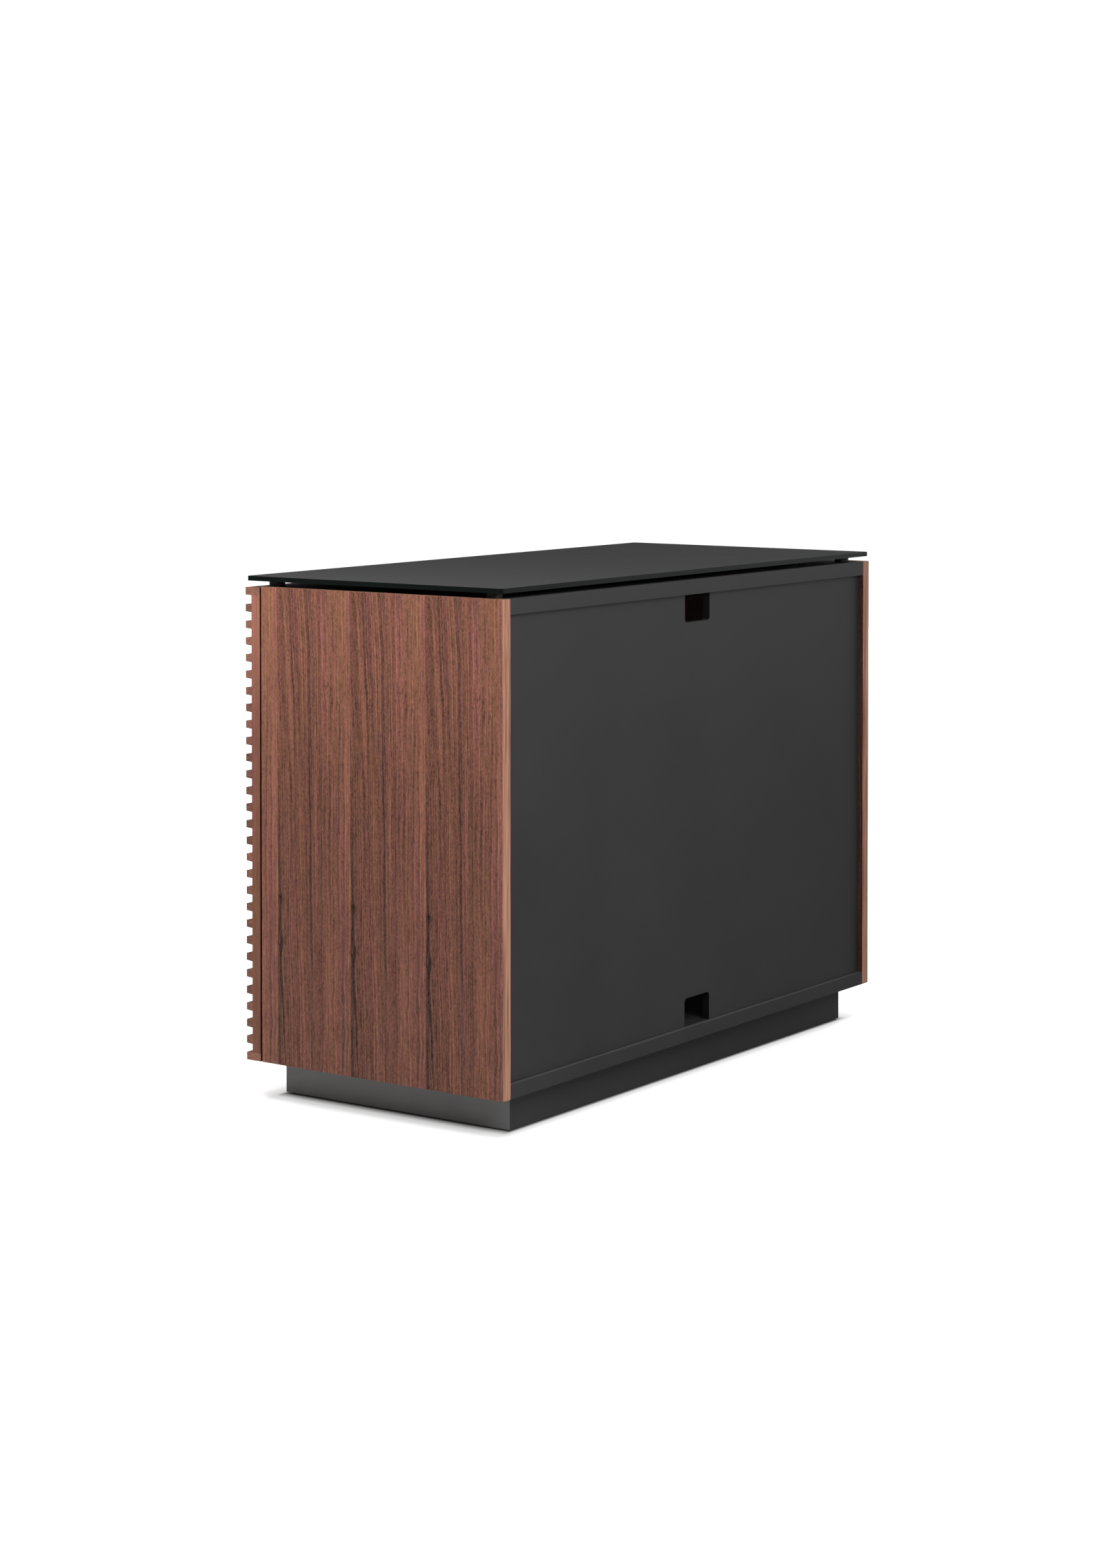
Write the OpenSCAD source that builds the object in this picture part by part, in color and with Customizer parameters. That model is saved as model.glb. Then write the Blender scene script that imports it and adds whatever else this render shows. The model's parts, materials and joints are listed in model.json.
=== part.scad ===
// Low media console: walnut side panels, two louvred doors, a black carcass with a
// push-fit rear panel, a recessed plinth on levelling feet and a raised glass top.
// Front faces -Y, rear faces +Y, up is +Z. The origin is on the floor, under the centre.

/* [Cabinet] */
// Overall width across the side panels
width = 1016; // [800:1:1300]
// Overall depth, front of the louvres to the rear edges
depth = 462; // [400:1:560]
// Overall height, floor to the top of the glass
height = 762; // [640:1:900]
// Thickness of the side panels
side_t = 18; // [16:1:25]
// Thickness of the top board
top_t = 22; // [20:1:30]
// Thickness of the bottom board
bottom_t = 20; // [18:1:30]
// Thickness of the centre divider and of the shelves
inner_t = 18; // [16:1:22]

/* [Glass top] */
// Thickness of the glass
glass_t = 7; // [5:0.5:12]
// Radius of the glass corners, seen from above
glass_corner = 5; // [3:1:30]
// Distance from the rear edges of the cabinet to the glass
glass_rear_inset = 1; // [0:0.5:6]
// Distance from the front of the louvres to the glass
glass_front_inset = 2; // [0:0.5:6]
// Gap between the cabinet and the glass
standoff_h = 8; // [6:0.5:20]
// Radius of a standoff
standoff_r = 11.5; // [8:0.5:16]
// Distance of a standoff's centre from the side of the glass
standoff_inset_x = 28.7; // [28:0.1:50]
// Distance of a standoff's centre from the front and rear of the glass
standoff_inset_y = 34; // [20:1:60]

/* [Doors] */
// Gap between the doors and the cabinet's front edges
door_gap = 3; // [2.5:0.1:4]
// Gap between the two doors
door_split = 3; // [2:0.5:6]
// Distance of the doors' top edge below the cabinet's top
door_drop = 1.6; // [1:0.1:6]
// Thickness of the stiles and the mullion
stile_t = 15.6; // [15:0.1:22]
// Width of a stile
stile_w = 60; // [50:1:90]
// Width of the mullion
mullion_w = 30; // [20:1:60]
// Height of the top and bottom rails
rail_h = 11.4; // [8:0.1:20]
// Number of slats on a door, between its rails
slat_count = 27; // [18:1:28]
// Height of a slat where it meets the stiles
slat_base = 12.6; // [8:0.1:14]
// Height of a slat at its front edge
slat_tip = 10.6; // [6:0.1:12]
// Distance that a slat stands forward of the stiles
slat_depth = 10.8; // [8:0.1:16]

/* [Hinges] */
// Distance of a hinge's centre from the end of the door
hinge_end = 95; // [70:1:140]

/* [Rear panel] */
// Distance of the rear panel behind the rear edges
panel_recess = 8; // [4:1:16]
// Thickness of the rear panel
panel_t = 12; // [9:1:18]
// Width of a cable notch
notch_w = 69; // [40:1:90]
// Height of a cable notch
notch_h = 42; // [25:0.5:60]
// Radius of the corners of a cable notch
notch_r = 6; // [3:1:12]
// Clearance round the rear panel
panel_play = 0.5; // [0.3:0.1:1]

/* [Plinth and feet] */
// Distance between the floor and the plinth
foot_gap = 2; // [1:0.5:6]
// Height of the plinth
plinth_h = 53; // [45:1:80]
// Distance of the plinth in from the side panels' outer faces
plinth_side_inset = 51; // [30:1:90]
// Distance of the plinth in from the rear edges
plinth_rear_inset = 25.4; // [10:0.1:60]
// Distance of the plinth behind the side panels' front edges
plinth_front_inset = 2.6; // [0:0.1:40]
// Thickness of the plinth boards
plinth_t = 16; // [12:1:20]
// Radius of a foot's pad
foot_r = 16; // [12:1:22]

/* [Hidden] */

$fn = 48;
cut = 1;  // how far a cutting shape runs past the face it cuts

// Main planes
half_w = width / 2;
rear_y = depth / 2;
front_y = -depth / 2;
slat_back_y = front_y + slat_depth;
door_back_y = slat_back_y + stile_t;
carcass_front_y = door_back_y + door_gap;
carcass_z = foot_gap + plinth_h;
glass_z = height - glass_t;
carcass_top = glass_z - standoff_h;
inner_x = half_w - side_t;
floor_z = carcass_z + bottom_t;
ceiling_z = carcass_top - top_t;

// Interior
panel_y = rear_y - panel_recess;
panel_front_y = panel_y - panel_t;
chase_depth = 61;
divider_rear_y = panel_front_y - chase_depth;
shelf_z = (floor_z + ceiling_z - inner_t) / 2;
shelf_setback = 12;
shelf_front_y = carcass_front_y + shelf_setback;
shelf_gap = 1;
pin_column_front = 60;
pin_column_rear = 50;
pin_columns = [carcass_front_y + pin_column_front, divider_rear_y - pin_column_rear];
system_pitch = 32;
shelf_pin_r = 2.5;
shelf_peg_r = 3;
shelf_pin_z = shelf_z - shelf_peg_r;
shelf_pin_depth = 8;

// Knock-down joints between the boards and the side panels
cam_r = 7.5;
cam_h = 12.5;
cam_recess_h = 2;
cam_from_end = 24;
cam_bolt_r = 3;
cam_bolt_in_side = 11;
cam_from_front = 52;
cam_from_rear = 66;
dowel_from_cam = 40;
cam_rows = [carcass_front_y + cam_from_front, rear_y - cam_from_rear];
dowel_r = 4;
dowel_in_side = 12;
dowel_in_board = 18;
dowel_rows = [cam_rows[0] + dowel_from_cam, cam_rows[1] - dowel_from_cam];
divider_dowel_end = 60;
divider_dowel_rows = [carcass_front_y + divider_dowel_end, divider_rear_y - divider_dowel_end];
divider_dowel_in_board = 10;
divider_dowel_in_divider = 16;
top_joint_z = ceiling_z + top_t / 2;
bottom_joint_z = carcass_z + bottom_t / 2;

// Rear cleats, their screws and the rear panel's push studs
cleat_t = 15;
cleat_w = 20;
cleat_y = panel_front_y - cleat_t;
cleat_screw_end = 60;
cleat_screw_rows = [floor_z + cleat_screw_end, (floor_z + ceiling_z) / 2,
    ceiling_z - cleat_screw_end];
cleat_screw_length = cleat_w + 10;
stud_end = 120;
stud_rows = [floor_z + stud_end, ceiling_z - stud_end];
stud_x = inner_x - cleat_w / 2;
stud_r = 4;
stud_play = 0.08;
stud_length = 10;
socket_r = 6;
screw_r = 2;
screw_head_r = 4;
screw_head_h = 3;
recess_w = 0.9;

// Plinth, corner blocks and feet
plinth_x = half_w - plinth_side_inset;
plinth_front_y = carcass_front_y + plinth_front_inset;
plinth_rear_y = rear_y - plinth_rear_inset;
block = 50;
pad_h = 6;
pad_chamfer = 1;
pad_rim_h = 4;
pad_slope = 4;
cross_rail_lift = 8;
foot_x = plinth_x - plinth_t - block / 2;
foot_front_y = plinth_front_y + plinth_t + block / 2;
foot_rear_y = plinth_rear_y - plinth_t - block / 2;
foot_points = [[foot_x, foot_front_y], [-foot_x, foot_front_y],
    [foot_x, foot_rear_y], [-foot_x, foot_rear_y]];
stem_r = 4;
stem_play = 0.06;
stem_h = 40;
insert_r = 6;
insert_h = 20;
block_screw_offset = 17;
block_screw_bite = 12;
block_screw_length = carcass_z + block_screw_bite - pad_h;

// Standoffs
standoff_x = half_w - standoff_inset_x;
standoff_front_y = front_y + glass_front_inset + standoff_inset_y;
standoff_rear_y = rear_y - glass_rear_inset - standoff_inset_y;
standoff_points = [for (x = [-standoff_x, standoff_x], y = [standoff_front_y, standoff_rear_y])
    [x, y]];
glass_pad_h = 1;
glass_pad_r = 8;
standoff_screw_length = standoff_h - glass_pad_h + 12;

// Doors
door_w = half_w - door_split / 2;
door_top = carcass_top - door_drop;
door_h = door_top - carcass_z;
slat_pitch = (door_h - rail_h) / (slat_count + 1);
rail_edge = 0.4;
hinge_rows = [carcass_z + hinge_end, door_top - hinge_end];

// Hinges, drawn in the plane of p (inward from the side panel's outer face)
// and q (forward from its front edge)
pin_inset = 7;
pin_forward = 12.5;
pin_r = 1;
cup_r = 17.5;
cup_edge = 3;
cup_inset = cup_edge + cup_r;
cup_wall = 0.6;
cup_depth = 12;
flange_t = 1.2;
flange_p = 2.6;
flange_half = 28;
flange_rim = 1.5;
ear_p = 2.5;
ear_w = 14;
cup_screw_rows = [-22.5, 22.5];
cup_screw_inset = cup_inset + ear_p + ear_w / 2;
cup_screw_r = 1.75;
cup_screw_head_r = 3.2;
cup_screw_depth = 11;
arm_half = 4.5;
eye_r = 1.6;
pin_play = 0.05;
pin_half = 9;
lug_z = 6.5;
lug_half = 2.4;
leg_p = side_t + 0.5;
leg_t = 3;
web_p = side_t + 6;
web_t = 2;
leg_end = -8;
web_start = -14;
arm_back = 64;
plate_back = 37;
plate_half = 26;
plate_screw_rows = [-16, 16];
plate_screw_r = 2.4;
plate_screw_depth = 12;
plate_screw_head_r = 4;
plate_screw_head_h = 1.6;
plate_foot_half = 8;
rib_front = -22;
rib_back = -60;

// Catches
catch_w = 30;
catch_h = 12;
catch_depth = 22;
catch_from_middle = 16;
catch_x = catch_from_middle + catch_w / 2;
catch_screw_length = catch_h + 10;
bumper_r = 5;
strike_t = 1;
catch_play = 0.2;

walnut = [0.42, 0.27, 0.2];
lacquer = [0.09, 0.09, 0.09];
steel = [0.7, 0.7, 0.72];
plastic = [0.12, 0.12, 0.12];

// ---------- shared shapes ----------

// A box between two corners
module span(low, high) {
    translate(low) cube(high - low);
}

// The right-hand shape and its mirror image
module both_sides() {
    children();
    mirror([1, 0, 0]) children();
}

// A countersunk screw's outline along +Z, its head's face at z = 0 and its tip at z = length
module screw_blank(length, shank_r = screw_r, head_r = screw_head_r, head_h = screw_head_h) {
    cylinder(r1 = head_r, r2 = shank_r, h = head_h);
    cylinder(r = shank_r, h = length);
}

// The cross recess in a screw's head
module cross_recess(reach, deep) {
    for (turn = [0, 90])
        rotate([0, 0, turn])
            translate([-reach, -recess_w / 2, -cut]) cube([2 * reach, recess_w, deep + cut]);
}

module wood_screw(length) {
    difference() {
        screw_blank(length);
        cross_recess(screw_head_r * 0.6, screw_head_h / 2);
    }
}

// Turns +Z to +X
module along_x() {
    rotate([0, 90, 0]) children();
}

// Turns +Z to -Y
module along_front() {
    rotate([90, 0, 0]) children();
}

// ---------- carcass joints ----------

// The bolt of one cam joint, from the side panel into the board, on the right side
module cam_bolt(y, z) {
    translate([inner_x - cam_from_end, y, z])
        along_x() cylinder(r = cam_bolt_r, h = cam_from_end + cam_bolt_in_side);
}

// The cam of one joint, let in from the board's underside
module cam(y, under_z) {
    translate([inner_x - cam_from_end, y, under_z]) cylinder(r = cam_r, h = cam_h);
}

module cam_recess(y, under_z) {
    translate([inner_x - cam_from_end, y, under_z]) cross_recess(cam_r * 0.6, cam_recess_h);
}

module side_dowel(y, z) {
    translate([inner_x - dowel_in_board, y, z])
        along_x() cylinder(r = dowel_r, h = dowel_in_board + dowel_in_side);
}

// All bolts and dowels of the right side panel
module right_joint_pins() {
    for (z = [bottom_joint_z, top_joint_z]) {
        for (y = cam_rows) cam_bolt(y, z);
        for (y = dowel_rows) side_dowel(y, z);
    }
}

module divider_dowels() {
    for (y = divider_dowel_rows) {
        translate([0, y, floor_z - divider_dowel_in_board])
            cylinder(r = dowel_r, h = divider_dowel_in_board + divider_dowel_in_divider);
        translate([0, y, ceiling_z - divider_dowel_in_divider])
            cylinder(r = dowel_r, h = divider_dowel_in_board + divider_dowel_in_divider);
    }
}

// The row of shelf-pin holes on the face at x, cut towards -X or +X
module shelf_pin_holes(x, way) {
    for (y = pin_columns, step = [-3:3])
        translate([x, y, shelf_pin_z + step * system_pitch])
            rotate([0, 90 * way, 0]) cylinder(r = shelf_pin_r, h = shelf_pin_depth);
}

// ---------- boards ----------

module side_panel() {
    difference() {
        span([inner_x, carcass_front_y, carcass_z], [half_w, rear_y, carcass_top]);
        right_joint_pins();
        shelf_pin_holes(inner_x, 1);
        at_cleat_screws() screw_blank(cleat_screw_length);
        at_plate_screws() plate_screw_blank();
    }
}

module right_side_panel() {
    color(walnut) side_panel();
}

module left_side_panel() {
    color(walnut) mirror([1, 0, 0]) side_panel();
}

module top_board() {
    color(lacquer) difference() {
        span([-inner_x, carcass_front_y, ceiling_z], [inner_x, rear_y, carcass_top]);
        both_sides() {
            right_joint_pins();
            for (y = cam_rows) cam(y, ceiling_z);
        }
        divider_dowels();
        at_standoff_screws() screw_blank(standoff_screw_length);
        at_catch_screws() screw_blank(catch_screw_length);
    }
}

module bottom_board() {
    color(lacquer) difference() {
        span([-inner_x, carcass_front_y, carcass_z], [inner_x, rear_y, floor_z]);
        both_sides() {
            right_joint_pins();
            for (y = cam_rows) cam(y, carcass_z);
        }
        divider_dowels();
        at_block_screws() screw_blank(block_screw_length);
    }
}

module centre_divider() {
    color(lacquer) difference() {
        span([-inner_t / 2, carcass_front_y, floor_z], [inner_t / 2, divider_rear_y, ceiling_z]);
        divider_dowels();
        shelf_pin_holes(inner_t / 2, -1);
        shelf_pin_holes(-inner_t / 2, 1);
    }
}

module shelf() {
    span([inner_t / 2 + shelf_gap, shelf_front_y, shelf_z],
        [inner_x - shelf_gap, divider_rear_y, shelf_z + inner_t]);
}

module right_shelf() {
    color(lacquer) shelf();
}

module left_shelf() {
    color(lacquer) mirror([1, 0, 0]) shelf();
}

// One pin: a shank in the panel at the origin's -X side and a peg on its +X side
module shelf_pin() {
    along_x() {
        translate([0, 0, -shelf_pin_depth]) cylinder(r = shelf_pin_r, h = shelf_pin_depth);
        cylinder(r = shelf_peg_r, h = shelf_pin_depth);
    }
}

module shelf_pins() {
    color(steel) both_sides() for (y = pin_columns) {
        translate([inner_t / 2, y, shelf_pin_z]) shelf_pin();
        translate([inner_x, y, shelf_pin_z]) mirror([1, 0, 0]) shelf_pin();
    }
}

module cam_locks() {
    color(steel) difference() {
        both_sides() for (y = cam_rows) {
            cam(y, ceiling_z);
            cam(y, carcass_z);
        }
        both_sides() for (y = cam_rows) {
            cam_bolt(y, bottom_joint_z);
            cam_bolt(y, top_joint_z);
            cam_recess(y, ceiling_z);
            cam_recess(y, carcass_z);
        }
    }
}

module cam_bolts() {
    color(steel) both_sides()
        for (y = cam_rows, z = [bottom_joint_z, top_joint_z]) cam_bolt(y, z);
}

module dowels() {
    color("burlywood") {
        both_sides()
            for (y = dowel_rows, z = [bottom_joint_z, top_joint_z]) side_dowel(y, z);
        divider_dowels();
    }
}

// ---------- rear cleats and rear panel ----------

// Places a child at each screw of the right cleat
module at_cleat_screws() {
    for (z = cleat_screw_rows)
        translate([inner_x - cleat_w, (cleat_y + panel_front_y) / 2, z]) along_x() children();
}

module right_sockets(radius) {
    for (z = stud_rows)
        translate([stud_x, panel_front_y, z]) along_front() cylinder(r = radius, h = cleat_t);
}

module cleat() {
    difference() {
        span([inner_x - cleat_w, cleat_y, floor_z], [inner_x, panel_front_y, ceiling_z]);
        at_cleat_screws() screw_blank(cleat_screw_length);
        right_sockets(socket_r);
    }
}

module right_rear_cleat() {
    color(lacquer) cleat();
}

module left_rear_cleat() {
    color(lacquer) mirror([1, 0, 0]) cleat();
}

module cleat_screws() {
    color(steel) both_sides() at_cleat_screws() wood_screw(cleat_screw_length);
}

module panel_sockets() {
    color(plastic) both_sides() for (z = stud_rows)
        translate([stud_x, panel_front_y, z]) along_front() difference() {
            cylinder(r = socket_r, h = cleat_t);
            translate([0, 0, -cut]) cylinder(r = stud_r + stud_play, h = cleat_t + 2 * cut);
        }
}

// A notch's outline, open at its lower edge, with its blind corners rounded
module notch_outline() {
    translate([-notch_w / 2, -cut]) square([notch_w, notch_h - notch_r + cut]);
    translate([-notch_w / 2 + notch_r, 0]) square([notch_w - 2 * notch_r, notch_h]);
    for (side = [-1, 1])
        translate([side * (notch_w / 2 - notch_r), notch_h - notch_r]) circle(r = notch_r);
}

module rear_panel() {
    low_z = floor_z + panel_play;
    high_z = ceiling_z - panel_play;
    panel_half = inner_x - panel_play;
    color(lacquer) translate([0, panel_y, 0]) rotate([90, 0, 0])
        linear_extrude(panel_t) difference() {
            translate([-panel_half, low_z]) square([2 * panel_half, high_z - low_z]);
            translate([0, low_z]) notch_outline();
            translate([0, high_z]) mirror([0, 1]) notch_outline();
        }
}

module rear_panel_studs() {
    color(plastic) both_sides() for (z = stud_rows)
        translate([stud_x, panel_front_y, z]) along_front() cylinder(r = stud_r, h = stud_length);
}

// ---------- plinth and feet ----------

module plinth_front() {
    color(lacquer) span([-plinth_x, plinth_front_y, foot_gap],
        [plinth_x, plinth_front_y + plinth_t, carcass_z]);
}

module plinth_rear() {
    color(lacquer) span([-plinth_x, plinth_rear_y - plinth_t, foot_gap],
        [plinth_x, plinth_rear_y, carcass_z]);
}

// A board between the plinth's front and rear, centred on x
module plinth_runner(x, low_z) {
    span([x - plinth_t / 2, plinth_front_y + plinth_t, low_z],
        [x + plinth_t / 2, plinth_rear_y - plinth_t, carcass_z]);
}

module plinth_right() {
    color(lacquer) plinth_runner(plinth_x - plinth_t / 2, foot_gap);
}

module plinth_left() {
    color(lacquer) plinth_runner(-plinth_x + plinth_t / 2, foot_gap);
}

module plinth_cross_rail() {
    color(lacquer) plinth_runner(0, foot_gap + cross_rail_lift);
}

// Places a child at each screw that goes up through a corner block into the bottom board
module at_block_screws() {
    for (p = foot_points, side = [-1, 1])
        translate([p[0] + side * block_screw_offset, p[1] + side * block_screw_offset, pad_h])
            children();
}

module corner_blocks() {
    color("burlywood") difference() {
        for (p = foot_points) translate([p[0] - block / 2, p[1] - block / 2, pad_h])
            cube([block, block, carcass_z - pad_h]);
        for (p = foot_points) translate([p[0], p[1], pad_h - cut])
            cylinder(r = insert_r, h = carcass_z - pad_h + cut);
        at_block_screws() screw_blank(block_screw_length);
    }
}

module block_screws() {
    color(steel) at_block_screws() wood_screw(block_screw_length);
}

module foot_inserts() {
    color(steel) for (p = foot_points) translate([p[0], p[1], pad_h]) difference() {
        cylinder(r = insert_r, h = insert_h);
        translate([0, 0, -cut]) cylinder(r = stem_r + stem_play, h = insert_h + 2 * cut);
    }
}

// One levelling foot: a pad with a chamfered rim and a threaded stem
module foot(p) {
    color(plastic) translate([p[0], p[1], 0]) {
        rotate_extrude() polygon([[0, 0], [foot_r - pad_chamfer, 0], [foot_r, pad_chamfer],
            [foot_r, pad_rim_h], [foot_r - pad_slope, pad_h], [0, pad_h]]);
        cylinder(r = stem_r, h = pad_h + stem_h);
    }
}

module foot_front_right() {
    foot(foot_points[0]);
}

module foot_front_left() {
    foot(foot_points[1]);
}

module foot_rear_right() {
    foot(foot_points[2]);
}

module foot_rear_left() {
    foot(foot_points[3]);
}

// ---------- glass top ----------

// Places a child at each standoff's screw, its head under the pad
module at_standoff_screws() {
    for (p = standoff_points)
        translate([p[0], p[1], glass_z - glass_pad_h]) rotate([180, 0, 0]) children();
}

module glass_standoffs() {
    color(plastic) difference() {
        for (p = standoff_points) translate([p[0], p[1], carcass_top])
            cylinder(r = standoff_r, h = standoff_h - glass_pad_h);
        at_standoff_screws() screw_blank(standoff_screw_length);
    }
}

module standoff_screws() {
    color(steel) at_standoff_screws() wood_screw(standoff_screw_length);
}

module glass_pads() {
    color(plastic) for (p = standoff_points) translate([p[0], p[1], glass_z - glass_pad_h])
        cylinder(r = glass_pad_r, h = glass_pad_h);
}

module glass_top() {
    low = [-half_w, front_y + glass_front_inset];
    high = [half_w, rear_y - glass_rear_inset];
    r = glass_corner;
    color([0.2, 0.21, 0.2]) translate([0, 0, glass_z]) linear_extrude(glass_t) {
        translate([low[0] + r, low[1]]) square([high[0] - low[0] - 2 * r, high[1] - low[1]]);
        translate([low[0], low[1] + r]) square([high[0] - low[0], high[1] - low[1] - 2 * r]);
        for (x = [low[0] + r, high[0] - r], y = [low[1] + r, high[1] - r])
            translate([x, y]) circle(r = r);
    }
}

// ---------- hinges ----------

// Places a child drawn in (p, q, z) on the right side of the cabinet
module hinge_frame(z) {
    translate([half_w, carcass_front_y, z]) mirror([1, 0, 0]) mirror([0, 1, 0]) children();
}

// Places a child drawn along +Z to run forward, along +q
module toward_door(p, q, z) {
    translate([p, q, z]) rotate([-90, 0, 0]) children();
}

// Places a child at each screw of the right side's hinge plates, z = 0 on the plate's face
module at_plate_screws() {
    for (row = hinge_rows, z = plate_screw_rows) hinge_frame(row)
        translate([side_t + web_t, -plate_back, z]) rotate([0, -90, 0]) children();
}

// A pan-head screw's outline, its head standing on the plate
module plate_screw_blank() {
    translate([0, 0, -plate_screw_head_h])
        cylinder(r1 = plate_screw_head_r - plate_screw_head_h / 2, r2 = plate_screw_head_r,
            h = plate_screw_head_h);
    translate([0, 0, -plate_screw_head_h / 2])
        cylinder(r = plate_screw_r, h = plate_screw_head_h / 2 + web_t + plate_screw_depth);
}

module plate_screw() {
    difference() {
        plate_screw_blank();
        translate([0, 0, -plate_screw_head_h])
            cross_recess(plate_screw_head_r * 0.55, plate_screw_head_h * 0.7);
    }
}

module hinge_plate() {
    difference() {
        union() {
            span([side_t, -plate_back - plate_foot_half, -plate_half],
                [side_t + web_t, -plate_back + plate_foot_half, plate_half]);
            span([side_t, rib_back, -arm_half], [web_p, rib_front, arm_half]);
        }
        for (z = plate_screw_rows) translate([side_t - cut, -plate_back, z])
            along_x() cylinder(r = plate_screw_r, h = web_t + 2 * cut);
    }
}

module hinge_plates() {
    color(steel) both_sides() for (row = hinge_rows) hinge_frame(row) hinge_plate();
}

module hinge_plate_screws() {
    color(steel) both_sides() at_plate_screws() plate_screw();
}

// The arm's profile: an eye round the pin, a neck, a leg and a web over the plate
module arm_profile() {
    neck = leg_t / 2;
    difference() {
        union() {
            translate([pin_inset, pin_forward]) circle(r = eye_r);
            polygon([
                [pin_inset, pin_forward + neck], [leg_p + leg_t, pin_forward + neck],
                [leg_p + leg_t, leg_end], [web_p + web_t, web_start - web_t],
                [web_p + web_t, -arm_back], [web_p, -arm_back], [web_p, web_start],
                [leg_p, leg_end],
                [leg_p, pin_forward - neck], [pin_inset, pin_forward - neck]]);
        }
        translate([pin_inset, pin_forward]) circle(r = pin_r + pin_play);
    }
}

module hinge_arms() {
    color(steel) both_sides() for (row = hinge_rows) hinge_frame(row)
        translate([0, 0, -arm_half]) linear_extrude(2 * arm_half) arm_profile();
}

// The outline of a cup's flange, in (p, z), without its mouth
module flange_outline() {
    intersection() {
        translate([cup_inset, 0]) circle(r = cup_r + flange_rim);
        translate([flange_p, -flange_half]) square([2 * flange_half, 2 * flange_half]);
    }
    translate([cup_inset + ear_p, -flange_half]) square([ear_w, 2 * flange_half]);
}

// Places a child at both screws of one cup, z = 0 on the flange's face
module at_cup_screws() {
    for (z = cup_screw_rows) toward_door(cup_screw_inset, door_gap - flange_t, z) children();
}

module cup_screw_blank() {
    screw_blank(flange_t + cup_screw_depth, cup_screw_r, cup_screw_head_r, flange_t);
}

module cup_screw() {
    difference() {
        cup_screw_blank();
        cross_recess(cup_screw_head_r * 0.55, flange_t * 0.7);
    }
}

module pin_shape() {
    translate([pin_inset, pin_forward, -pin_half]) cylinder(r = pin_r, h = 2 * pin_half);
}

// Two lugs inside the cup, above and below the arm, that hold the pin's ends
module pin_lugs() {
    intersection() {
        toward_door(cup_inset, pin_forward - lug_half, 0)
            cylinder(r = cup_r - cup_wall / 2, h = door_gap + cup_depth - cup_wall / 2
                - pin_forward + lug_half);
        for (side = [0, 1]) mirror([0, 0, side])
            span([0, 0, lug_z], [pin_inset + lug_half, door_gap + cup_depth, cup_r]);
    }
}

module hinge_cup() {
    difference() {
        union() {
            difference() {
                union() {
                    toward_door(cup_inset, door_gap, 0) cylinder(r = cup_r, h = cup_depth);
                    toward_door(0, door_gap - flange_t, 0)
                        linear_extrude(flange_t) flange_outline();
                }
                toward_door(cup_inset, door_gap - flange_t - cut, 0)
                    cylinder(r = cup_r - cup_wall, h = flange_t + cut + cup_depth - cup_wall);
            }
            pin_lugs();
        }
        at_cup_screws() cup_screw_blank();
        pin_shape();
    }
}

module door_hinge_cups() {
    for (row = hinge_rows) hinge_frame(row) hinge_cup();
}

module door_hinge_pins() {
    for (row = hinge_rows) hinge_frame(row) pin_shape();
}

module door_cup_screws() {
    for (row = hinge_rows) hinge_frame(row) at_cup_screws() cup_screw();
}

// ---------- doors, drawn for the right side ----------

// A full-depth rail with its front edges eased
module door_rail(low_z) {
    high_z = low_z + rail_h;
    translate([half_w - door_w, 0, 0]) rotate([90, 0, 90]) linear_extrude(door_w)
        polygon([[door_back_y, low_z], [door_back_y, high_z], [front_y + rail_edge, high_z],
            [front_y, high_z - rail_edge], [front_y, low_z + rail_edge],
            [front_y + rail_edge, low_z]]);
}

module door_upright(low_x, high_x) {
    span([low_x, slat_back_y, carcass_z + rail_h], [high_x, door_back_y, door_top - rail_h]);
}

module outer_stile() {
    difference() {
        door_upright(half_w - stile_w, half_w);
        for (row = hinge_rows) hinge_frame(row) {
            toward_door(cup_inset, door_gap - cut, 0) cylinder(r = cup_r, h = cup_depth + cut);
            at_cup_screws() cup_screw_blank();
        }
    }
}

module inner_stile() {
    door_upright(door_split / 2, door_split / 2 + stile_w);
}

module mullion() {
    centre_x = (half_w - stile_w + door_split / 2 + stile_w) / 2;
    door_upright(centre_x - mullion_w / 2, centre_x + mullion_w / 2);
}

// The slats taper towards their front edges
module slats() {
    for (i = [1:slat_count])
        translate([half_w - door_w, 0, carcass_z + rail_h / 2 + i * slat_pitch])
            rotate([90, 0, 90]) linear_extrude(door_w)
                polygon([[slat_back_y, -slat_base / 2], [slat_back_y, slat_base / 2],
                    [front_y, slat_tip / 2], [front_y, -slat_tip / 2]]);
}

// The strike plate for the magnet, and a bumper at the door's lower corner
module strike() {
    span([catch_x - catch_w / 2, door_back_y, ceiling_z - catch_h],
        [catch_x + catch_w / 2, door_back_y + strike_t, ceiling_z]);
    translate([catch_x, door_back_y, floor_z - bottom_t / 2]) rotate([-90, 0, 0])
        cylinder(r = bumper_r, h = door_gap - catch_play);
}

// ---------- catches ----------

// Places a child at each catch's screw
module at_catch_screws() {
    both_sides() translate([catch_x, carcass_front_y + catch_depth / 2, ceiling_z - catch_h])
        children();
}

module catch_screws() {
    color(steel) at_catch_screws() wood_screw(catch_screw_length);
}

module door_catches() {
    catch_front = door_back_y + strike_t + catch_play;
    color(plastic) difference() {
        both_sides() span([catch_x - catch_w / 2, catch_front, ceiling_z - catch_h],
            [catch_x + catch_w / 2, catch_front + catch_depth, ceiling_z]);
        at_catch_screws() screw_blank(catch_screw_length);
    }
}

// ---------- right door ----------

module right_door_top_rail() {
    color(walnut) door_rail(door_top - rail_h);
}

module right_door_bottom_rail() {
    color(walnut) door_rail(carcass_z);
}

module right_door_outer_stile() {
    color(walnut) outer_stile();
}

module right_door_inner_stile() {
    color(walnut) inner_stile();
}

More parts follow.
